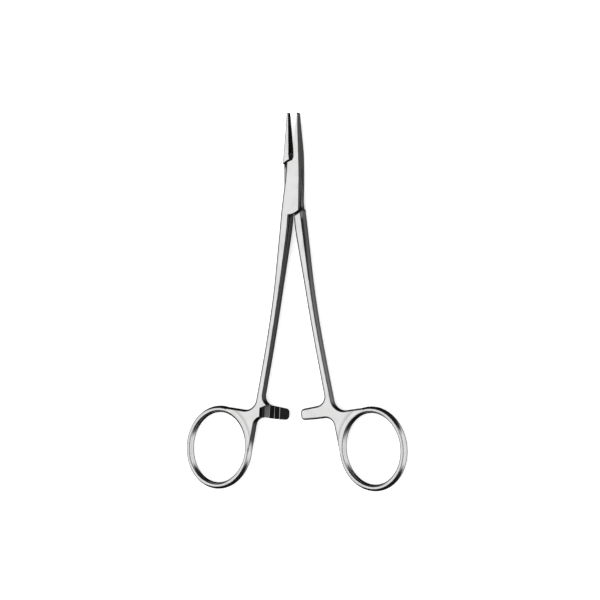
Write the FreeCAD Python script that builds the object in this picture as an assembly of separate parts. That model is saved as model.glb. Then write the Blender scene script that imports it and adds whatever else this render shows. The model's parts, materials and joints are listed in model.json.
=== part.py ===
import FreeCAD, Part
import math
import os

# Box-lock needle holder, 13 cm, shown partly open.
# Three pieces: the box half, the tongue half that passes through it, and the pivot pin.
# Origin: pivot axis on the lower face of the box. +Y to the jaw tips, +Z up, millimetres.
# Each half is drawn as if closed, its jaw on +X and its shank on -X, its mid-plane at z = 0.
# The tongue half is then mirrored, and both halves are swung apart to the open position.

# Lengths along the instrument, from the pivot
tip_reach = 25.6
grip_end = 12.0
box_top = 7.5
box_bottom = 7.6
shank_waist = 34.0
profile_ease = 1.5
ring_centre_drop = 91.0

# Thickness across the flat faces, full over the box and this far below it
box_thick = 4.9
tip_thick = 2.2
shank_thick = 3.7
yoke_thick = 3.2
ring_thick = 3.4
flat_below_box = 2.4
yoke_flat_drop = 67.0

# Half widths of the closed outline: height above the pivot, then distance from the centre line
tip_half_width = 0.66
box_half_width = 3.15
box_jaw_side = [(17.4, 1.60), (12.7, 2.2), (9.3, 2.55), (0.0, 3.15), (-9.1, 3.45)]
tongue_jaw_side = [(17.4, 1.42), (12.7, 1.97), (9.3, 2.4), (6.5, 2.75), (0.0, 3.0)]
box_shank_side = [(10.0, 2.32), (1.0, 2.6), (-8.6, 3.35)]
tongue_shank_side = [(10.0, 2.6), (0.0, 3.1), (-8.6, 3.3)]

# Shank edges: distance down from the pivot, then inner and outer edge from the centre line
# Both edges lean further out by shank_lean where they reach the yoke
shank_lean = 1.05
shank_stations = [
    (13.0, 0.22, 3.55),
    (20.0, 0.78, 3.98),
    (31.0, 1.90, 4.65),
    (44.0, 3.25, 5.75),
    (57.0, 4.78, 7.3),
    (70.0, 6.48, 9.1),
]

# Finger rings, oval in section, each with a flat web filling the corner towards the shank
ring_centre_out = 22.95
ring_half_length = 13.3
ring_half_width = 11.0
ring_bar = 2.3
ring_lean = 3.7
web_inset = 0.2
web_hole_inset = 0.3
web_low_out = 0.4

# Yoke that joins ring, shank and ratchet arm
yoke_drop = 77.8
yoke_outer_fillet = 4.2
yoke_inner_fillet = 3.1
arm_root_fillet = 3.3

# Ratchet arm, rooted this far outside the shank
arm_root_out = 0.6
arm_past_centre = 2.25
arm_drop_root = 74.6
arm_drop_end = 76.1
arm_low_radius = 79.9
arm_corner = 1.3
arm_pocket_left = 8.0
arm_pocket_drop = 76.3
arm_pocket_slant = 25.0
arm_pocket_scoop = 1.4

# Ratchet teeth
tooth_count = 3
tooth_pitch = 1.85
tooth_depth = 0.8
tooth_first = 4.9
tooth_land = 0.12
crest_gap = 0.1

# Box lock
tongue_thick = 1.7
slot_clear = 0.05
slot_end_clear = 0.12
shoulder_clear = 0.45
slot_mouth = 6.5
slot_half_top = 2.6
slot_half_bottom = 3.3
crotch_x = -0.1
tongue_crotch_x = 0.2
slot_end_slope = 39.0
slot_past_crotch = 0.5

# Arcs that end the box walls: across from the centre line, then away from box_top or box_bottom
wall_top_arc = [(-3.3, -1.15), (-1.6, 0.9), (crotch_x, 1.6)]
wall_bottom_arc = [(4.0, -1.2), (1.75, 1.05), (crotch_x, 1.7)]

# Pivot pin
pin_radius = 1.1
pin_head_radius = 1.6
pin_head_depth = 0.5
pin_running_clear = 0.03

# Jaw faces, both leaning this far to the box half's side at the tips
jaw_sway = 0.22
tip_gap = 0.01
grip_relief = 0.12
grip_undercut = 0.2
undercut_length = 0.4
belly_bulge = 0.1
belly_rise = 0.3
groove_pitch = 0.62
groove_depth = 0.14
groove_angle = 45.0
groove_spread = 2.4

# Edge rounding
jaw_round = 0.5
shank_round = 0.9
tip_round = 0.6

# Each half is turned this far from closed
half_opening = 3.5

half_thick = box_thick / 2

# Cutting shapes reach this high, and run this far past the metal
tall = 2 * box_thick
past = 2.0
last_drop, last_inner, last_outer = shank_stations[-1]


def at(x, y, z=0.0):
    return FreeCAD.Vector(x, y, z)


def line(start, end):
    return Part.LineSegment(start, end).toShape()


def arc(start, middle, end):
    return Part.Arc(start, middle, end).toShape()


def curve(points):
    spline = Part.BSplineCurve()
    spline.interpolate(points)
    return spline.toShape()


def prism(edges, low=-tall, high=tall):
    face = Part.Face(Part.Wire(edges))
    face.translate(at(0, 0, low))
    return face.extrude(at(0, 0, high - low))


def closed_lines(points):
    return [line(p, q) for p, q in zip(points, points[1:] + points[:1])]


def round_upright(shape, spot, radius, reach):
    # Rounds the upright edges whose foot is within reach of a spot
    chosen = []
    for edge in shape.Edges:
        ends = [v.Point for v in edge.Vertexes]
        if len(ends) == 2 and abs(ends[0].z - ends[1].z) > 1:
            if math.hypot(ends[0].x - spot.x, ends[0].y - spot.y) < reach:
                chosen.append(edge)
    return shape.makeFillet(radius, chosen)


def slot_end(x, half_width, back_off):
    # Height of the slanted slot end at x, backed off towards the pivot
    slope = math.radians(slot_end_slope)
    return slot_mouth + (half_width - x) * math.tan(slope) - back_off / math.cos(slope)


def grip_face_x(y, sway):
    # The jaw faces meet at the tips first and stand a little apart at the root
    return tip_gap + grip_relief * (tip_reach - y) / (tip_reach - grip_end) + sway * y / tip_reach


def jaw_outer_edges(stations, foot, sway):
    # Across the tip and down the outer side to the foot
    corner = at(-tip_half_width, tip_reach)
    tip = at(tip_half_width + sway, tip_reach)
    outer = [tip]
    for height, half in stations:
        if height > foot.y:
            outer.append(at(half + sway * max(height, 0) / tip_reach, height))
    outer.append(foot)
    return [line(corner, tip), curve(outer)]


def jaw_back_edges(shoulder):
    # From the shoulder inwards and up to the tip: this strip is cut away again with the jaw space
    inside = at(-tip_half_width, shoulder.y)
    return [line(shoulder, inside), line(inside, at(-tip_half_width, tip_reach))]


def jaw_space(lower_edge, crotch, sway):
    # What is cleared inside the jaw: above a lower edge, round the undercut, up the gripping face
    step = at(grip_face_x(grip_end, sway), grip_end)
    undercut = at(step.x + grip_undercut, grip_end - undercut_length)
    belly = at(undercut.x - belly_bulge, crotch.y + belly_rise * (undercut.y - crotch.y))
    beyond = at(grip_face_x(2 * tip_reach, sway), 2 * tip_reach)
    start = lower_edge.firstVertex().Point
    far = at(start.x, beyond.y)
    return prism([
        lower_edge,
        arc(crotch, belly, undercut),
        line(undercut, step),
        line(step, beyond),
        line(beyond, far),
        line(far, start),
    ])


def shank_edges(crotch, stations):
    # Down the inner side from the crotch, across inside the yoke and up the outer side
    inner = [crotch] + [at(-near, -drop) for drop, near, far in shank_stations]
    inner.append(at(-last_inner - shank_lean, -yoke_drop))
    outer = [at(-half, height) for height, half in stations]
    outer += [at(-far, -drop) for drop, near, far in shank_stations]
    outer.append(at(-last_outer - shank_lean, -yoke_drop))
    return [curve(inner), line(inner[-1], outer[-1]), curve(outer[::-1])]


def ring_point(angle, grow):
    # A point of the ring's leaning ellipse
    lean = math.radians(ring_lean)
    x = (ring_half_width + grow) * math.cos(math.radians(angle))
    y = (ring_half_length + grow) * math.sin(math.radians(angle))
    return at(
        -ring_centre_out + x * math.cos(lean) + y * math.sin(lean),
        -ring_centre_drop - x * math.sin(lean) + y * math.cos(lean),
    )


def on_ring(p, grow):
    # Whether a point lies on that ellipse
    lean = math.radians(ring_lean)
    dx = p.x + ring_centre_out
    dy = p.y + ring_centre_drop
    x = dx * math.cos(lean) - dy * math.sin(lean)
    y = dx * math.sin(lean) + dy * math.cos(lean)
    return abs(math.hypot(x / (ring_half_width + grow), y / (ring_half_length + grow)) - 1) < 0.01


def ring_disc(grow):
    ellipse = Part.Ellipse(at(0, 0), ring_half_length + grow, ring_half_width + grow).toShape()
    return prism([placed_on_ring(ellipse)])


def placed_on_ring(shape):
    shape.rotate(at(0, 0), at(0, 0, 1), 90 - ring_lean)
    shape.translate(at(-ring_centre_out, -ring_centre_drop))
    return shape


def ring_torus():
    # Oval bar swept round the ring
    path = Part.Ellipse(at(0, 0), ring_half_length, ring_half_width).toShape()
    start = at(ring_half_length, 0)
    crest = start + at(0, 0, ring_thick / 2)
    flank = start + at(ring_bar / 2, 0)
    section = Part.Ellipse(crest, flank, start).toShape()
    return placed_on_ring(Part.Wire([path]).makePipeShell([Part.Wire([section])], True, True))


def ring_tangent(corner, grow, side):
    # Where a line from a corner outside the ring touches it, on one side or the other
    lean = math.radians(ring_lean)
    dx = corner.x + ring_centre_out
    dy = corner.y + ring_centre_drop
    x = (dx * math.cos(lean) - dy * math.sin(lean)) / (ring_half_width + grow)
    y = (dx * math.sin(lean) + dy * math.cos(lean)) / (ring_half_length + grow)
    swing = math.acos(1 / math.hypot(x, y))
    return ring_point(math.degrees(math.atan2(y, x) + side * swing), grow)


def yoke_web():
    # Tangent to the ring's top and to its inner side, its last corner inside the ring's opening
    grow = ring_bar / 2 - web_inset
    corner_top = at(-last_outer, -yoke_drop)
    corner_low = at(-last_outer - web_low_out, -arm_low_radius - 1)
    top = ring_tangent(corner_top, grow, 1)
    side = ring_tangent(corner_low, grow, -1)
    return prism(closed_lines([top, corner_top, corner_low, side, ring_point(45, -grow - past)]))


def ratchet_arm():
    root = -last_outer - arm_root_out
    end = arm_past_centre
    lows = [at(x, -math.sqrt(arm_low_radius ** 2 - x ** 2)) for x in (end, (root + end) / 2, root)]
    return prism([
        line(at(root, -arm_drop_root), at(end, -arm_drop_end)),
        line(at(end, -arm_drop_end), lows[0]),
        arc(lows[0], lows[1], lows[2]),
        line(lows[2], at(root, -arm_drop_root)),
    ])


def eased_chain(points, ease):
    # Straight runs between points, each inner corner softened by a tangent curve
    edges = []
    start = points[0]
    for before, corner, after in zip(points, points[1:], points[2:]):
        entry = corner + (before - corner).normalize() * ease
        leave = corner + (after - corner).normalize() * ease
        bend = Part.BezierCurve()
        bend.setPoles([entry, corner, leave])
        edges += [line(start, entry), bend.toShape()]
        start = leave
    return edges + [line(start, points[-1])]


def thickness_block():
    # Side view: flat over the box, tapering to the tips and down the shanks
    tip_slope = (box_thick - tip_thick) / 2 / (tip_reach - grip_end)
    stations = [
        (tip_reach + past, tip_thick / 2 - past * tip_slope),
        (grip_end, half_thick),
        (-box_bottom - flat_below_box - profile_ease, half_thick),
        (-shank_waist, shank_thick / 2),
        (-yoke_flat_drop, yoke_thick / 2),
        (-ring_centre_drop - ring_half_length - ring_bar - past, yoke_thick / 2),
    ]
    side = ring_centre_out + ring_half_length + ring_bar + past
    over = [at(-side, y, z) for y, z in stations]
    under = [at(-side, y, -z) for y, z in reversed(stations)]
    outline = eased_chain(over, profile_ease) + [line(over[-1], under[0])]
    outline += eased_chain(under, profile_ease) + [line(under[-1], over[0])]
    return Part.Face(Part.Wire(outline)).extrude(at(2 * side, 0, 0))


def rim_edges(shape, keep):
    # Edges where a broad face meets an upright wall, picked by a point on each
    chosen = []
    for edge in shape.Edges:
        faces = shape.ancestorsOfType(edge, Part.Face)
        if len(faces) != 2:
            continue
        middle = edge.valueAt((edge.FirstParameter + edge.LastParameter) / 2)
        lean = []
        for face in faces:
            u, v = face.Surface.parameter(middle)
            lean.append(abs(face.normalAt(u, v).z))
        if max(lean) > 0.9 and min(lean) < 0.3 and keep(middle):
            chosen.append(edge)
    return chosen


def jaw_rim(p):
    if p.y > tip_reach - 0.01:
        return True
    return p.y > -slot_mouth and p.x > 0.2


def shank_rim(p):
    if on_ring(p, -web_hole_inset):
        return False
    return p.y < -box_bottom - 4 or (p.x < -1.5 and p.y < box_top)


def forging(blade, sway):
    # One half at full thickness, edges rounded, before lock and ratchet are cut
    rim_disc = ring_disc(ring_bar / 2 - web_inset)
    body = prism(blade).fuse([rim_disc, yoke_web(), ratchet_arm()]).removeSplitter()
    body = round_upright(body, at(-last_inner - 0.5, -arm_drop_root - 0.2), arm_root_fillet, 1.0)
    body = round_upright(body, at(-last_outer - 1.0, -yoke_drop), yoke_outer_fillet, 1.0)
    body = round_upright(body, at(-last_outer - 0.3, -arm_low_radius), yoke_inner_fillet, 1.0)
    body = round_upright(body, at(arm_past_centre, -arm_drop_end), arm_corner, 0.5)
    body = round_upright(body, at(arm_past_centre, -arm_low_radius), arm_corner, 0.5)
    body = round_upright(body, at(tip_half_width + sway, tip_reach), tip_round, 0.1)
    body = body.cut(ring_disc(-web_hole_inset))
    body = body.common(thickness_block())
    body = body.makeFillet(shank_round, rim_edges(body, shank_rim))
    body = body.makeFillet(jaw_round, rim_edges(body, jaw_rim))
    return body.fuse(ring_torus())


def wall_end_top(lift):
    # Upper end of the box walls, from outside the outline to the crotch, lifted towards the jaw
    return [at(x, box_top + rise + lift) for x, rise in wall_top_arc]


def wall_end_bottom(lift):
    # Lower end of the box walls, from outside the outline to the crotch, lifted towards the shank
    return [at(x, -box_bottom - drop - lift) for x, drop in wall_bottom_arc]


def box_blade():
    # The outline runs on past both wall ends and the gripping face, which are cut later
    shoulder = at(-box_shank_side[0][1], box_shank_side[0][0])
    foot = at(box_jaw_side[-1][1], box_jaw_side[-1][0])
    crotch = wall_end_bottom(0)[-1]
    return (
        jaw_back_edges(shoulder)
        + jaw_outer_edges(box_jaw_side, foot, jaw_sway)
        + [line(foot, crotch)]
        + shank_edges(crotch, box_shank_side)
    )


def tongue_blade():
    # Between jaw and shank the outline is that of the thin tongue
    shoulder = at(-tongue_shank_side[0][1], tongue_shank_side[0][0])
    foot = at(slot_half_bottom, -slot_end(slot_half_bottom, slot_half_bottom, slot_end_clear))
    crotch_low = at(-tongue_crotch_x, -slot_end(-tongue_crotch_x, slot_half_bottom, slot_end_clear))
    return (
        jaw_back_edges(shoulder)
        + jaw_outer_edges(tongue_jaw_side, foot, -jaw_sway)
        + [line(foot, crotch_low)]
        + shank_edges(crotch_low, tongue_shank_side)
    )


def tongue_end_top():
    # Slanted upper end of the tongue, from outside the outline to the crotch
    left = -2 * box_half_width
    return [
        at(left, slot_end(-left, slot_half_top, slot_end_clear)),
        at(tongue_crotch_x, slot_end(-tongue_crotch_x, slot_half_top, slot_end_clear)),
    ]


def lock_slot():
    # Passage for the tongue through the box, open on both sides and at both crotches
    side = 3 * box_half_width
    low = wall_end_bottom(0)[-1].y - slot_past_crotch
    outline = [
        at(-side, side * 2),
        at(crotch_x, side * 2),
        at(crotch_x, slot_end(crotch_x, slot_half_top, 0)),
        at(side, slot_end(side, slot_half_top, 0)),
        at(side, low),
        at(crotch_x, low),
        at(crotch_x, -slot_end(-crotch_x, slot_half_bottom, 0)),
        at(-side, -slot_end(side, slot_half_bottom, 0)),
    ]
    half_gap = tongue_thick / 2 + slot_clear
    return prism(closed_lines(outline), -half_gap, half_gap)


def lock_pocket(low, high):
    # Room for one box wall beside the tongue, drawn in the mirrored frame of the tongue half
    side = 3 * box_half_width
    top = [at(-p.x, p.y) for p in wall_end_top(shoulder_clear)]
    bottom = [at(-p.x, p.y) for p in wall_end_bottom(shoulder_clear)]
    right = [at(side, bottom[-1].y), at(side, top[0].y)]
    left = [at(-side, top[-1].y + 1), at(-side, bottom[0].y)]
    return prism([
        line(right[0], right[1]),
        line(right[1], top[0]),
        arc(*top),
        line(top[-1], left[0]),
        line(left[0], left[1]),
        line(left[1], bottom[0]),
        arc(*bottom),
        line(bottom[-1], right[0]),
    ], low, high)


def ratchet_cut():
    # Everything above the floor of an arm whose teeth face up: scooped pocket, teeth, long last slope
    crest = -crest_gap / 2
    valley = crest - tooth_depth
    left = -arm_pocket_left
    right = arm_past_centre + past
    turn = arm_pocket_scoop * (1 - math.sqrt(0.5))
    scoop_end = at(left + arm_pocket_scoop, 0, valley)
    floor = [scoop_end]
    for number in range(tooth_count):
        spot = -tooth_first + number * tooth_pitch
        floor += [at(spot, 0, valley), at(spot, 0, crest), at(spot + tooth_land, 0, crest)]
    floor += [at(arm_past_centre, 0, valley), at(right, 0, valley), at(right, 0, tall), at(left, 0, tall)]
    scoop_start = at(left, 0, valley + arm_pocket_scoop)
    outline = [line(floor[-1], scoop_start)]
    outline.append(arc(scoop_start, at(left + turn, 0, valley + turn), scoop_end))
    outline += [line(p, q) for p, q in zip(floor, floor[1:])]
    face = Part.Face(Part.Wire(outline))
    low = -arm_low_radius - past
    face.translate(at(0, low, 0))
    above = face.extrude(at(0, -low, 0))

    # In plan the pocket ends in a slanting wall
    rise = math.tan(math.radians(arm_pocket_slant)) * (right - left)
    plan = [
        at(left - past, low),
        at(right, low),
        at(right, -arm_pocket_drop + rise),
        at(left, -arm_pocket_drop),
        at(left - past, -arm_pocket_drop),
    ]
    return above.common(prism(closed_lines(plan)))


def groove_bars(sway):
    # Two crossing sets of V bars lying in the gripping face
    top = at(grip_face_x(tip_reach, sway), tip_reach)
    root = at(grip_face_x(grip_end, sway), grip_end)
    middle = (top + root) * 0.5
    tilt = math.degrees(math.atan2(root.x - top.x, top.y - root.y))
    half_length = box_thick
    spacing = groove_pitch / math.cos(math.radians(groove_angle))
    count = int((tip_reach - grip_end + box_thick) / spacing / 2)
    sets = []
    for turn in (groove_angle, -groove_angle):
        bars = []
        for number in range(-count, count + 1):
            v_form = [
                at(groove_depth, 0, -half_length),
                at(-groove_depth, -groove_depth * groove_spread, -half_length),
                at(-groove_depth, groove_depth * groove_spread, -half_length),
            ]
            bar = Part.Face(Part.Wire(closed_lines(v_form))).extrude(at(0, 0, 2 * half_length))
            bar.rotate(at(0, 0), at(1, 0, 0), turn)
            bar.translate(at(0, number * spacing, 0))
            bar.rotate(at(0, 0), at(0, 0, 1), tilt)
            bar.translate(middle)
            bars.append(bar)
        sets.append(bars)
    return sets


def pin():
    top = half_thick
    neck = half_thick - pin_head_depth
    profile = [
        at(0, 0, -top),
        at(pin_head_radius, 0, -top),
        at(pin_radius, 0, -neck),
        at(pin_radius, 0, neck),
        at(pin_head_radius, 0, top),
        at(0, 0, top),
    ]
    return Part.Face(Part.Wire(closed_lines(profile))).revolve(at(0, 0), at(0, 0, 1), 360)


def box_half():
    top = wall_end_top(0)
    bottom = wall_end_bottom(0)
    beyond = at(3 * box_half_width, bottom[-1].y)
    below = prism([arc(*bottom), line(bottom[-1], beyond), line(beyond, bottom[0])])
    body = forging(box_blade(), jaw_sway).cut([jaw_space(arc(*top), top[-1], jaw_sway), below])
    body = body.cut([lock_slot(), pin()])
    body = body.cut(ratchet_cut())
    for bars in groove_bars(jaw_sway):
        body = body.cut(bars)
    body.rotate(at(0, 0), at(0, 0, 1), -half_opening)
    return body


def tongue_half():
    top = tongue_end_top()
    body = forging(tongue_blade(), -jaw_sway).cut(jaw_space(line(*top), top[-1], -jaw_sway))
    half_tongue = tongue_thick / 2
    bore = Part.makeCylinder(pin_radius + pin_running_clear, 2 * tall, at(0, 0, -tall))
    body = body.cut([lock_pocket(half_tongue, tall), lock_pocket(-tall, -half_tongue), bore])
    body = body.cut(ratchet_cut().mirror(at(0, 0), at(0, 0, 1)))
    for bars in groove_bars(-jaw_sway):
        body = body.cut(bars)
    body = body.mirror(at(0, 0), at(1, 0, 0))
    body.rotate(at(0, 0), at(0, 0, 1), half_opening)
    return body


pieces = {
    "box_half": box_half(),
    "tongue_half": tongue_half(),
    "pivot_pin": pin(),
}
os.makedirs("parts", exist_ok=True)
for name, shape in pieces.items():
    shape.translate(at(0, 0, half_thick))
    shape.exportStep(f"parts/{name}.step")
    print(name, shape.isValid(), len(shape.Solids), round(shape.Volume, 1), "mm3")
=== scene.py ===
import json
import math
import bpy
from mathutils import Matrix, Vector

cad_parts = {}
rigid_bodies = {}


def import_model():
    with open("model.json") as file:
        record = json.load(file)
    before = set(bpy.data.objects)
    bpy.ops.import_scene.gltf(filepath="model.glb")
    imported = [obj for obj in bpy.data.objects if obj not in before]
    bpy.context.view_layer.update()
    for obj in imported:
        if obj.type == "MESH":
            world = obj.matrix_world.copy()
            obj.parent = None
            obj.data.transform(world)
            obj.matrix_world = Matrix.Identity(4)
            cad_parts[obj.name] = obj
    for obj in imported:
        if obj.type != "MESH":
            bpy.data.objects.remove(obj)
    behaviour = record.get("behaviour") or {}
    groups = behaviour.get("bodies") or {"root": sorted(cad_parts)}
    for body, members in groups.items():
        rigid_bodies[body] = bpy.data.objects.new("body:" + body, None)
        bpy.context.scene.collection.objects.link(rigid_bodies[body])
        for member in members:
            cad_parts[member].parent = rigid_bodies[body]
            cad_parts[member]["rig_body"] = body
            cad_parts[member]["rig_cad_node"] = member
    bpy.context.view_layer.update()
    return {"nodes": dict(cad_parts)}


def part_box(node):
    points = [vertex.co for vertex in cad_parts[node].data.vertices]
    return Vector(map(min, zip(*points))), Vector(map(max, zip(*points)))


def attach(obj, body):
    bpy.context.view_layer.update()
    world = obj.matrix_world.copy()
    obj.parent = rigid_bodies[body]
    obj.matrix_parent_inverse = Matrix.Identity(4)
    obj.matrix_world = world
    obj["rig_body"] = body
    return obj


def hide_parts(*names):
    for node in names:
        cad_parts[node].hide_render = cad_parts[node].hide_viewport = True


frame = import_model()

# All places are in metres from the pivot axis. The pin is as long as the box is thick,
# so half of its length is the middle height of the instrument.
pinLow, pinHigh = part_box("pivot_pin")
halfThick = (pinHigh.z - pinLow.z) / 2

# The two forgings
forging = {
    "weldDistance": 2e-7,
    "sliverWidth": 1e-6,    # thinner triangles are dissolved
    "smoothAngle": 32,      # edges sharper than this stay crisp
    "normalWeight": 50,     # neutral, so that faces count by their area
}

# Two blocks that close the ends of the jaw grooves, which run on into the box walls at the jaw crotch
grooveFill = {
    "middle": (0.00075, 0.00844),
    "size": (0.00034, 0.0031),
    "turn": -3.49,
    "heights": ((0.000001, 0.0015), (0.0034, 0.004899)),
    "crotchSpot": (0.00074, 0.009455, 0),
    "crotchNormal": (-0.871, 0.491, 0),
}


def closeGrooves():
    fill = grooveFill
    for low, high in fill["heights"]:
        bpy.ops.mesh.select_all(action="DESELECT")
        bpy.ops.mesh.primitive_cube_add(
            size=1, location=(*fill["middle"], (low + high) / 2),
            rotation=(0, 0, math.radians(fill["turn"])), scale=(*fill["size"], high - low))
        bpy.ops.mesh.bisect(
            plane_co=fill["crotchSpot"], plane_no=fill["crotchNormal"],
            use_fill=True, clear_outer=True)


def smoothCopy(nodeName, pieceName, body):
    # A merged copy of the CAD forging, so that reflections run smoothly over it
    source = frame["nodes"][nodeName]
    piece = source.copy()
    piece.data = source.data.copy()
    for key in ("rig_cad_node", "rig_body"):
        if key in piece:
            del piece[key]
    piece.name = pieceName
    piece.data.name = pieceName
    piece.parent = None
    piece.matrix_world = Matrix.Identity(4)
    bpy.context.scene.collection.objects.link(piece)
    bpy.ops.object.select_all(action="DESELECT")
    piece.select_set(True)
    bpy.context.view_layer.objects.active = piece
    bpy.ops.object.mode_set(mode="EDIT")
    bpy.ops.mesh.select_all(action="SELECT")
    bpy.ops.mesh.remove_doubles(threshold=forging["weldDistance"])
    bpy.ops.mesh.dissolve_degenerate(threshold=forging["sliverWidth"])
    bpy.ops.mesh.customdata_custom_splitnormals_clear()
    if nodeName == "box_half":
        closeGrooves()
    bpy.ops.object.mode_set(mode="OBJECT")
    bpy.ops.object.shade_smooth_by_angle(angle=math.radians(forging["smoothAngle"]))
    weighted = piece.modifiers.new("evenNormals", "WEIGHTED_NORMAL")
    weighted.mode = "FACE_AREA"
    weighted.weight = forging["normalWeight"]
    weighted.keep_sharp = True
    bpy.ops.object.modifier_apply(modifier=weighted.name)
    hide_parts(nodeName)
    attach(piece, body)
    return piece


boxForging = smoothCopy("box_half", "boxForging", "box_side")
tongueForging = smoothCopy("tongue_half", "tongueForging", "tongue_side")
print("forgings ready:", len(boxForging.data.polygons), len(tongueForging.data.polygons))


def addNode(tree, kind, x, y, **values):
    node = tree.nodes.new(kind)
    node.location = (x, y)
    for name, value in values.items():
        setattr(node, name, value)
    return node


def feed(tree, node, name, value):
    # The value is another node's socket, or else a number, a vector or a colour
    socket = node.inputs[name]
    if isinstance(value, bpy.types.NodeSocket):
        tree.links.new(value, socket)
    else:
        socket.default_value = value


def maths(tree, operation, x, y, *values):
    node = addNode(tree, "ShaderNodeMath", x, y, operation=operation)
    for number, value in enumerate(values):
        feed(tree, node, number, value)
    return node.outputs[0]


def vectorMaths(tree, operation, x, y, *values):
    node = addNode(tree, "ShaderNodeVectorMath", x, y, operation=operation)
    for number, value in enumerate(values):
        feed(tree, node, number, value)
    return node.outputs["Value" if operation == "LENGTH" else "Vector"]


def product(tree, x, y, share, *others):
    for number, other in enumerate(others):
        share = maths(tree, "MULTIPLY", x + 200 * number, y, share, other)
    return share


def softStep(tree, x, y, value, reach, ends=(0, 1)):
    # Goes smoothly from one end to the other while the value crosses the reach
    node = addNode(tree, "ShaderNodeMapRange", x, y, interpolation_type="SMOOTHSTEP")
    feed(tree, node, "Value", value)
    feed(tree, node, "From Min", reach[0])
    feed(tree, node, "From Max", reach[1])
    feed(tree, node, "To Min", ends[0])
    feed(tree, node, "To Max", ends[1])
    return node.outputs["Result"]


def between(tree, x, y, value, reach):
    # 1 within the reach and 0 outside it
    above = maths(tree, "GREATER_THAN", x, y, value, reach[0])
    below = maths(tree, "LESS_THAN", x, y - 150, value, reach[1])
    return maths(tree, "MULTIPLY", x + 200, y, above, below)


def greyRamp(tree, x, y, share, levels):
    # Grey levels at places from 0 to 1, joined by straight lines
    node = addNode(tree, "ShaderNodeValToRGB", x, y)
    stops = node.color_ramp.elements
    for position, level in levels[1:-1]:
        stops.new(position)
    for stop, (position, level) in zip(stops, levels):
        stop.position = position
        stop.color = (level, level, level, 1)
    feed(tree, node, "Fac", share)
    return node.outputs["Color"]


def noise(tree, x, y, place, scale, detail, roughness):
    node = addNode(tree, "ShaderNodeTexNoise", x, y)
    feed(tree, node, "Vector", place)
    feed(tree, node, "Scale", scale)
    feed(tree, node, "Detail", detail)
    feed(tree, node, "Roughness", roughness)
    return node.outputs["Fac"]


def newMaterial(name):
    material = bpy.data.materials.new(name)
    material.use_nodes = True
    tree = material.node_tree
    tree.nodes.clear()
    output = addNode(tree, "ShaderNodeOutputMaterial", 900, 0)
    shader = addNode(tree, "ShaderNodeBsdfPrincipled", 600, 0)
    feed(tree, output, "Surface", shader.outputs["BSDF"])
    return material, tree, shader


def dress(obj, material):
    obj.data.materials.clear()
    obj.data.materials.append(material)


# Steel: flat faces are satin, side walls and roundings are polished
steel = {
    "lightShade": (0.84, 0.84, 0.835),
    "darkShade": (0.72, 0.72, 0.715),
    "shadeReach": (0.25, 0.75),         # between these levels of noise the share of the light shade grows
    "lightShares": (0.35, 1.0),         # from the first of these to the second
    "satinRoughness": 0.34,
    "polishedRoughness": 0.12,
    "roughnessSpread": 0.07,
    "spreadReach": (0.3, 0.7),
    "flatNormal": (0.90, 0.985),        # how far the normal of a flat face points up or down
    "cloudScale": 260.0,                # clouds of slightly different polish per metre
    "cloudDetail": 4.0,
    "cloudRoughness": 0.5,
    "pinTone": 0.99,
}


def surfacePlace(tree):
    # Where each point lies on the instrument, and which way its surface faces
    coordinates = addNode(tree, "ShaderNodeTexCoord", -1900, 0)
    spot = addNode(tree, "ShaderNodeSeparateXYZ", -1700, 1100)
    facing = addNode(tree, "ShaderNodeSeparateXYZ", -1700, 300)
    feed(tree, spot, 0, coordinates.outputs["Object"])
    feed(tree, facing, 0, coordinates.outputs["Normal"])
    upright = maths(tree, "ABSOLUTE", -1500, 300, facing.outputs["Z"])
    return {
        "place": coordinates.outputs["Object"],
        "x": spot.outputs["X"],
        "y": spot.outputs["Y"],
        "z": spot.outputs["Z"],
        "facingX": facing.outputs["X"],
        "upright": upright,
        "flatShare": softStep(tree, -1300, 300, upright, steel["flatNormal"]),
    }


# Fine brushing along the instrument, and sparse wiping scratches at a slant
brushing = {
    "lines": 5200,              # noise cells per metre across the lines
    "stretch": 0.025,           # cells along the lines, as a share of those across
    "turn": 0,
    "detail": 3.0,
    "roughness": 0.6,
    "depth": 0.12,
    "distance": 0.00002,
}
scratches = {
    "lines": 900,
    "stretch": 0.04,
    "turn": 27,
    "detail": 2.0,
    "roughness": 0.5,
    "levels": (0.62, 0.70),
    "addedRoughness": 0.08,
}


def linedNoise(tree, y, place, facts):
    # Noise drawn out into lines
    across = facts["lines"]
    space = addNode(tree, "ShaderNodeMapping", -1500, y)
    feed(tree, space, "Rotation", (0, 0, math.radians(facts["turn"])))
    feed(tree, space, "Scale", (across, across * facts["stretch"], across))
    feed(tree, space, "Vector", place)
    return noise(tree, -1300, y, space.outputs["Vector"], 1.0, facts["detail"], facts["roughness"])


# Side walls of box, shanks and arms are rougher than the rings, and their dark tone is painted shade, deeper
# on the box half than on the tongue half
sideWalls = {
    "tone": {"box": 0.125, "tongue": 0.30},
    "roughness": 0.24,
    "slant": 1.2,               # they end on a line that rises this steeply from the middle
    "ends": (-0.1095, -0.1055),
}


def wallShare(tree, at):
    outward = maths(tree, "ABSOLUTE", -1500, 1000, at["x"])
    slanted = maths(tree, "MULTIPLY_ADD", -1300, 1000, outward, -sideWalls["slant"], at["y"])
    aboveRings = softStep(tree, -1100, 1100, slanted, sideWalls["ends"])
    notFlat = maths(tree, "SUBTRACT", -900, 1100, 1.0, at["flatShare"])
    return product(tree, -700, 1100, aboveRings, notFlat)


# Painted shade in the grooves of the gripping faces, each found by its distance from a plane through the
# pivot
grips = {
    "turn": {"box": -3.99, "tongue": 3.01},         # degrees
    "from": {"box": 0.0119, "tongue": 0.0093},      # the faces start this far above the pivot
    "reach": 0.00036,
    "wallNormal": 0.8,          # walls are where the normal points up less than this
}


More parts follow.
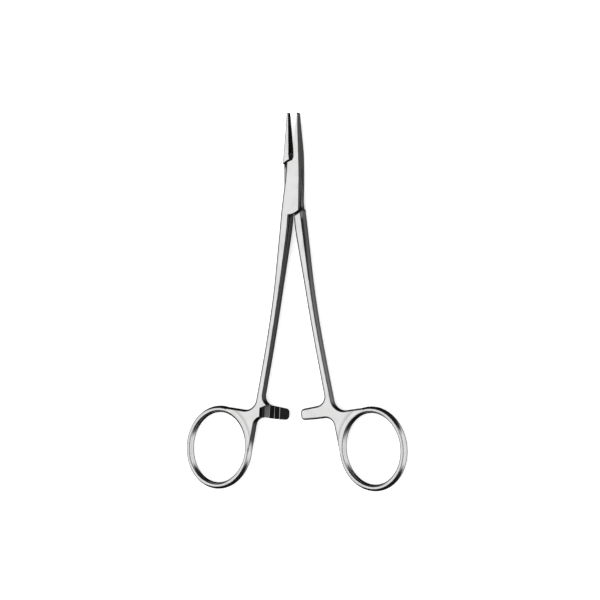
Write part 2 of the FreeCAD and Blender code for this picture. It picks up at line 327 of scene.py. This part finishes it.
def gripShare(tree, at, half):
    turned = addNode(tree, "ShaderNodeMapping", -1700, 1500)
    feed(tree, turned, "Rotation", (0, 0, -math.radians(grips["turn"][half])))
    feed(tree, turned, "Vector", at["place"])
    jaw = addNode(tree, "ShaderNodeSeparateXYZ", -1500, 1500)
    feed(tree, jaw, 0, turned.outputs["Vector"])
    distance = maths(tree, "ABSOLUTE", -1300, 1500, jaw.outputs["X"])
    near = maths(tree, "LESS_THAN", -1100, 1500, distance, grips["reach"])
    above = maths(tree, "GREATER_THAN", -1100, 1700, jaw.outputs["Y"], grips["from"][half])
    wall = maths(tree, "LESS_THAN", -1100, 1900, at["upright"], grips["wallNormal"])
    return product(tree, -900, 1500, near, above, wall)


# Painted shade in the lock, lighter on the edges of the tongue, which show beside the box
lock = {
    "reach": (-0.0101, 0.0112),
    "weakShadeHeight": (0.0056, 0.0078),     # the lighter shade ends between these distances up or down
    "weakShadeBeside": (0.0012, 0.0027),     # and starts between these to the side
    "weakShadeShare": 0.45,
    "outerFrom": {"box": ("x", 0.0015), "tongue": ("y", 0.0083)},   # side walls past here get no painted shade
    "sideNormal": 0.7,                  # the normal of a side wall points sideways more than this
}


def lockShare(tree, at, half):
    inLock = between(tree, -1100, 2700, at["y"], lock["reach"])
    height = maths(tree, "ABSOLUTE", -1300, 3000, at["y"])
    beside = maths(tree, "ABSOLUTE", -1300, 3200, at["x"])
    lowEnough = softStep(tree, -1100, 3000, height, lock["weakShadeHeight"], (1, 0))
    farEnough = softStep(tree, -1100, 3200, beside, lock["weakShadeBeside"])
    weakShade = product(tree, -900, 3000, lowEnough, farEnough)
    shadeStrength = softStep(tree, -700, 3000, weakShade, (0, 1), (1, lock["weakShadeShare"]))
    axis, limit = lock["outerFrom"][half]
    sideways = maths(tree, "ABSOLUTE", -1300, 3500, at["facingX"])
    distance = maths(tree, "ABSOLUTE", -1300, 3700, at[axis])
    sideWall = maths(tree, "GREATER_THAN", -1100, 3500, sideways, lock["sideNormal"])
    past = maths(tree, "GREATER_THAN", -1100, 3700, distance, limit)
    outer = product(tree, -900, 3500, sideWall, past)
    inside = maths(tree, "SUBTRACT", -700, 3500, 1.0, outer)
    return product(tree, -500, 2700, inLock, shadeStrength, inside)


# Painted shade between the ratchet teeth
ratchet = {
    "heights": (-0.0850, -0.0720),
    "halfWidth": 0.0136,
    "pocket": (-0.0104, -0.0097),       # left of here, before the first tooth, it is lighter
    "pocketShare": 0.80,
}


def ratchetShare(tree, at):
    atTeeth = between(tree, -1100, 4200, at["y"], ratchet["heights"])
    beside = maths(tree, "ABSOLUTE", -1300, 4500, at["x"])
    onArms = maths(tree, "LESS_THAN", -1100, 4500, beside, ratchet["halfWidth"])
    shadeStrength = softStep(tree, -1100, 4700, at["x"], ratchet["pocket"], (ratchet["pocketShare"], 1))
    return product(tree, -700, 4200, atTeeth, onArms, shadeStrength)


# Lock and teeth lie near the middle of the instrument's height, with the tooth crests nearest to it, where
# the painted shade is lighter
inner = {
    "depth": 0.00087,
    "crest": (0.00006, 0.00009),
    "crestShare": 0.45,
}


def innerShare(tree, at):
    lift = maths(tree, "SUBTRACT", -1500, 2400, at["z"], halfThick)
    away = maths(tree, "ABSOLUTE", -1300, 2400, lift)
    deep = maths(tree, "LESS_THAN", -1100, 2400, away, inner["depth"])
    shadeStrength = softStep(tree, -1100, 2550, away, inner["crest"], (inner["crestShare"], 1))
    return product(tree, -900, 2400, deep, shadeStrength)


# Painted shadow on the box half's inward wall, darker towards the crotch of the shanks
crotch = {
    "heights": (-0.0112, -0.0094),      # it darkens between these, going up
    "top": -0.0080,
    "inwardNormal": 0.6,                # the normal of the inward wall points right more than this
}


def crotchShare(tree, at):
    near = softStep(tree, -1100, 5100, at["y"], crotch["heights"])
    under = maths(tree, "LESS_THAN", -1100, 5400, at["y"], crotch["top"])
    inward = maths(tree, "GREATER_THAN", -1100, 5600, at["facingX"], crotch["inwardNormal"])
    return product(tree, -700, 5100, near, under, inward)


# Painted shadow along the gap between the tongue half's shoulder, which is an arc, and the box
shoulder = {
    "centre": (-0.000825, -0.004079, 0),
    "radii": (0.00612, 0.00632),        # the painted shadow ends between these distances from the centre
    "top": -0.0076,
    "left": 0.0006,
}


def shoulderShare(tree, at):
    away = vectorMaths(tree, "SUBTRACT", -1700, 5100, at["place"], shoulder["centre"])
    level = vectorMaths(tree, "MULTIPLY", -1500, 5100, away, (1, 1, 0))
    radius = vectorMaths(tree, "LENGTH", -1300, 5100, level)
    near = softStep(tree, -1100, 5100, radius, shoulder["radii"], (1, 0))
    under = maths(tree, "LESS_THAN", -1100, 5400, at["y"], shoulder["top"])
    rightward = maths(tree, "GREATER_THAN", -1100, 5600, at["x"], shoulder["left"])
    return product(tree, -700, 5100, near, under, rightward)


# Painted shade in bands along the shank walls: how dark it is at each share of the instrument's height
wallShadeBands = {
    "box": [(0.0, 1.0), (0.35, 0.90), (0.55, 0.60), (0.70, 0.15), (0.80, 0.0), (1.0, 0.0)],
    "tongue": [
        (0.0, 0.75), (0.30, 0.70), (0.45, 0.35), (0.56, 0.05), (0.70, 0.0), (0.78, 0.50), (0.86, 0.95),
    ],
    "top": (-0.0115, -0.0095),
    "weakening": (-0.060, -0.015),              # between these heights they weaken downwards
    "lowShare": {"box": 1.0, "tongue": 0.35},   # to this share of their strength
}


def wallShadeBandShare(tree, at, walls, half):
    height = maths(tree, "MULTIPLY", -1300, 6000, at["z"], 1 / (2 * halfThick))
    level = greyRamp(tree, -1100, 6000, height, wallShadeBands[half])
    onShank = softStep(tree, -1100, 6300, at["y"], wallShadeBands["top"], (1, 0))
    strength = softStep(tree, -1100, 6600, at["y"], wallShadeBands["weakening"], (wallShadeBands["lowShare"][half], 1))
    return product(tree, -700, 6000, level, onShank, strength, walls)


# Painted shade beside each ring, where a shallow valley would run; the forging itself has none
ringShade = {
    "centre": (0.02846, -0.08942, 0),
    "axes": (0.0110, 0.0133, 1000.0),   # half axes of the ring bar's middle line; height plays no part
    "lean": 7.2,
    "inner": (1.075, 1.105),            # it begins here, as shares of the axes
    "outer": (1.105, 1.20),             # and ends here
    "share": 0.28,
}


def ringShadeShare(tree, at, half):
    side = -1 if half == "box" else 1
    x, y, z = ringShade["centre"]
    ring = addNode(tree, "ShaderNodeMapping", -1500, 7000, vector_type="TEXTURE")
    feed(tree, ring, "Location", (side * x, y, z))
    feed(tree, ring, "Rotation", (0, 0, side * math.radians(ringShade["lean"])))
    feed(tree, ring, "Scale", ringShade["axes"])
    feed(tree, ring, "Vector", at["place"])
    away = vectorMaths(tree, "LENGTH", -1300, 7000, ring.outputs["Vector"])
    near = softStep(tree, -1100, 7000, away, ringShade["outer"], (ringShade["share"], 0))
    past = softStep(tree, -1100, 7300, away, ringShade["inner"])
    return product(tree, -700, 7000, near, past, at["flatShare"])


def paintedShadeShare(tree, at, walls, half):
    # The strongest of all the painted shade on a half
    lockOrTeeth = maths(tree, "MAXIMUM", -100, 2700, lockShare(tree, at, half), ratchetShare(tree, at))
    gap = crotchShare(tree, at) if half == "box" else shoulderShare(tree, at)
    others = (
        product(tree, 0, 2400, innerShare(tree, at), lockOrTeeth),
        gap,
        wallShadeBandShare(tree, at, walls, half),
        ringShadeShare(tree, at, half),
    )
    darkest = gripShare(tree, at, half)
    for number, other in enumerate(others):
        darkest = maths(tree, "MAXIMUM", 200, 2400 + 300 * number, darkest, other)
    return darkest


# The painted shade itself, in the jaw grooves, in the lock, between the teeth and in the other places above
paintedShade = {"tone": 0.04, "roughness": 0.45}


def shade(colour, tone):
    return [c * tone for c in colour] + [1]


def coat(tree, y, share, under, over):
    # Lays a colour and roughness over the ones so far
    tinted = addNode(tree, "ShaderNodeMix", 400, y, data_type="RGBA")
    dulled = addNode(tree, "ShaderNodeMix", 400, y - 200, data_type="FLOAT")
    for node, first, second in zip((tinted, dulled), under, over):
        feed(tree, node, "Factor", share)
        feed(tree, node, "A", first)
        feed(tree, node, "B", second)
    return tinted.outputs["Result"], dulled.outputs["Result"]


def makeSteel(name, tone=1.0, half=None):
    material, tree, shader = newMaterial(name)
    feed(tree, shader, "Metallic", 1.0)
    at = surfacePlace(tree)
    brush = linedNoise(tree, -200, at["place"], brushing)
    scratch = linedNoise(tree, -500, at["place"], scratches)
    clouds = noise(
        tree, -1300, -800, at["place"], steel["cloudScale"], steel["cloudDetail"], steel["cloudRoughness"])

    # Colour
    average = maths(tree, "MULTIPLY", -100, 300, maths(tree, "ADD", -300, 300, clouds, brush), 0.5)
    tones = addNode(tree, "ShaderNodeMix", 300, 300, data_type="RGBA")
    feed(tree, tones, "Factor", softStep(tree, 100, 300, average, steel["shadeReach"], steel["lightShares"]))
    feed(tree, tones, "A", shade(steel["darkShade"], tone))
    feed(tree, tones, "B", shade(steel["lightShade"], tone))

    # Roughness
    spread = steel["roughnessSpread"]
    uneven = softStep(tree, -600, -100, clouds, steel["spreadReach"], (-spread, spread))
    unevenFlat = maths(tree, "MULTIPLY", -400, -100, uneven, at["flatShare"])
    finishes = (steel["polishedRoughness"], steel["satinRoughness"])
    finish = softStep(tree, -600, 100, at["flatShare"], (0, 1), finishes)
    brushed = maths(tree, "ADD", -200, 0, finish, unevenFlat)
    scratchLine = softStep(tree, -1000, -500, scratch, scratches["levels"])
    scratched = maths(tree, "MULTIPLY_ADD", 0, 0, scratchLine, scratches["addedRoughness"], brushed)

    # Side walls, darkened with painted shade, and on the two halves the painted shade in grooves, lock,
    # teeth and gaps
    walls = wallShare(tree, at)
    paintedWallTone = sideWalls["tone"][half] if half else 1.0
    wallCoat = (shade(steel["darkShade"], paintedWallTone), sideWalls["roughness"])
    finished = coat(tree, 400, walls, (tones.outputs["Result"], scratched), wallCoat)
    if half:
        paintedShadeCoat = (shade(steel["darkShade"], paintedShade["tone"]), paintedShade["roughness"])
        finished = coat(tree, 700, paintedShadeShare(tree, at, walls, half), finished, paintedShadeCoat)
    feed(tree, shader, "Base Color", finished[0])
    feed(tree, shader, "Roughness", finished[1])

    # Relief of the brushing
    relief = addNode(tree, "ShaderNodeBump", 200, -300)
    feed(tree, relief, "Strength", brushing["depth"])
    feed(tree, relief, "Distance", brushing["distance"])
    feed(tree, relief, "Height", maths(tree, "MULTIPLY", -200, -300, brush, at["flatShare"]))
    feed(tree, shader, "Normal", relief.outputs["Normal"])
    return material


def dressPin(material):
    # The pin shows as the CAD node itself
    pin = frame["nodes"]["pivot_pin"]
    if pin.material_slots:
        pin.material_slots[0].material = material
    else:
        pin.data.materials.append(material)


dress(boxForging, makeSteel("boxSteel", half="box"))
dress(tongueForging, makeSteel("tongueSteel", half="tongue"))
dressPin(makeSteel("pinSteel", steel["pinTone"]))
print("steel finishes ready")

# The instrument's middle on the table, which the floor and the light are centred on
tableMiddle = Vector((0, -0.03, 0))

# Floor
floorLook = {"size": 3.0, "colour": (0.93, 0.93, 0.93, 1), "glow": 0.62, "roughness": 0.9}


def makeFloor():
    bpy.ops.object.select_all(action="DESELECT")
    bpy.ops.mesh.primitive_plane_add(size=floorLook["size"], location=tableMiddle)
    floor = bpy.context.object
    floor.name = "paleFloor"
    material, tree, shader = newMaterial("paleFloor")
    feed(tree, shader, "Base Color", floorLook["colour"])
    feed(tree, shader, "Roughness", floorLook["roughness"])
    feed(tree, shader, "Specular IOR Level", 0.0)
    feed(tree, shader, "Emission Color", floorLook["colour"])
    feed(tree, shader, "Emission Strength", floorLook["glow"])
    dress(floor, material)
    floor.visible_glossy = False        # side walls mirror the dim room, not the table


makeFloor()

# Surroundings, mirrored in the steel: how bright the room is at each angle from straight up,
# positive to the right of the picture, and how far the light reaches towards the instrument's ends
room = {
    "brightness": [
        (-180, 0.02), (-165, 0.05), (-150, 0.10), (-110, 0.15), (-95, 0.25), (-85, 0.90), (-65, 1.00),
        (-55, 0.60), (-45, 0.65), (-38, 1.00), (-8, 1.00), (4, 0.70), (14, 0.10),
        (30, 0.08), (46, 0.70), (60, 0.85), (130, 0.85), (148, 0.60),
        (158, 0.36), (164, 0.24), (172, 0.04), (180, 0.02),
    ],
    "strength": 1.05,
    "leftReach": (0.50, 0.80),      # as the sine of the angle towards either end
    "rightReach": (0.35, 0.60),
    "sideChange": (0.0, 0.15),      # from the left reach to the right one
    "ends": 0.02,                   # what is left of the light at the ends
}


def makeRoom():
    world = bpy.data.worlds.new("dimRoom")
    bpy.context.scene.world = world
    world.use_nodes = True
    tree = world.node_tree
    tree.nodes.clear()
    output = addNode(tree, "ShaderNodeOutputWorld", 900, 0)
    background = addNode(tree, "ShaderNodeBackground", 700, 0)
    feed(tree, background, "Color", (1, 1, 1, 1))
    feed(tree, output, "Surface", background.outputs["Background"])
    coordinates = addNode(tree, "ShaderNodeTexCoord", -1200, 0)
    direction = addNode(tree, "ShaderNodeSeparateXYZ", -1000, 0)
    feed(tree, direction, 0, coordinates.outputs["Generated"])

    # Brightness by angle
    angle = maths(tree, "ARCTAN2", -800, 200, direction.outputs["X"], direction.outputs["Z"])
    share = addNode(tree, "ShaderNodeMapRange", -600, 200)
    feed(tree, share, "From Min", -math.pi)
    feed(tree, share, "From Max", math.pi)
    feed(tree, share, "Value", angle)
    levels = [((degrees + 180) / 360, level) for degrees, level in room["brightness"]]
    brightness = greyRamp(tree, -400, 200, share.outputs["Result"], levels)

    # Fading towards both ends of the instrument
    endwards = maths(tree, "ABSOLUTE", -800, -200, direction.outputs["Y"])
    leftFade = softStep(tree, -600, -100, endwards, room["leftReach"], (1, room["ends"]))
    rightFade = softStep(tree, -600, -400, endwards, room["rightReach"], (1, room["ends"]))
    fade = addNode(tree, "ShaderNodeMix", -300, -200, data_type="FLOAT")
    feed(tree, fade, "Factor", softStep(tree, -600, -700, direction.outputs["X"], room["sideChange"]))
    feed(tree, fade, "A", leftFade)
    feed(tree, fade, "B", rightFade)
    strength = product(tree, 100, 0, brightness, fade.outputs["Result"], room["strength"])
    feed(tree, background, "Strength", strength)


makeRoom()

# Light
softbox = {"direction": (-0.1, 0.03, 1.0), "distance": 1.2, "size": (4.5, 4.5), "power": 38}


def makeSoftbox():
    direction = Vector(softbox["direction"]).normalized()
    bpy.ops.object.light_add(type="AREA", location=tableMiddle + direction * softbox["distance"])
    lamp = bpy.context.object
    lamp.name = "overheadSoftbox"
    lamp.rotation_mode = "QUATERNION"
    lamp.rotation_quaternion = direction.to_track_quat("Z", "Y")
    lamp.data.shape = "RECTANGLE"
    lamp.data.size, lamp.data.size_y = softbox["size"]
    lamp.data.energy = softbox["power"]
    lamp.visible_glossy = False         # the steel mirrors the room, not the lamp


makeSoftbox()
print("floor, room and light ready")

# Camera: leans from straight above towards +X, as the photograph does
cameraLook = {
    "pivotPixel": (293.46, 187.11),     # where the pivot axis shows in a 600 by 600 picture
    "pictureSide": 600,
    "pixelSize": 0.0003427,             # metres that one picture pixel covers at the pivot
    "distance": 1.0,
    "tilt": 21.9,
    "turn": 0.495,                      # the instrument stands this far anticlockwise in the picture
    "sensor": 36.0,
    "clip": (0.01, 20),
}


def makeCamera():
    look = cameraLook
    tilt = math.radians(look["tilt"])
    middle = look["pictureSide"] / 2
    pixel = look["pixelSize"]
    aim = Vector((
        (middle - look["pivotPixel"][0]) * pixel / math.cos(tilt),
        -(middle - look["pivotPixel"][1]) * pixel,
        0,
    ))
    back = Vector((math.sin(tilt), 0, math.cos(tilt)))
    right = Vector((math.cos(tilt), 0, -math.sin(tilt)))
    up = Vector((0, 1, 0))
    spot = aim + back * look["distance"]
    pose = Matrix((
        (right.x, up.x, back.x, spot.x),
        (right.y, up.y, back.y, spot.y),
        (right.z, up.z, back.z, spot.z),
        (0, 0, 0, 1),
    ))
    pivot = Matrix.Translation((0, 0, halfThick))
    turn = Matrix.Rotation(-math.radians(look["turn"]), 4, "Z")
    bpy.ops.object.camera_add()
    camera = bpy.context.object
    camera.name = "pictureCamera"
    camera.matrix_world = pivot @ turn @ pose
    camera.data.sensor_width = look["sensor"]
    camera.data.lens = look["distance"] / pixel * look["sensor"] / look["pictureSide"]
    camera.data.clip_start, camera.data.clip_end = look["clip"]
    bpy.context.scene.camera = camera


makeCamera()
bpy.context.scene.view_settings.view_transform = "Standard"
bpy.context.scene.view_settings.look = "None"
bpy.context.scene.view_settings.exposure = 0.0
print("camera ready")
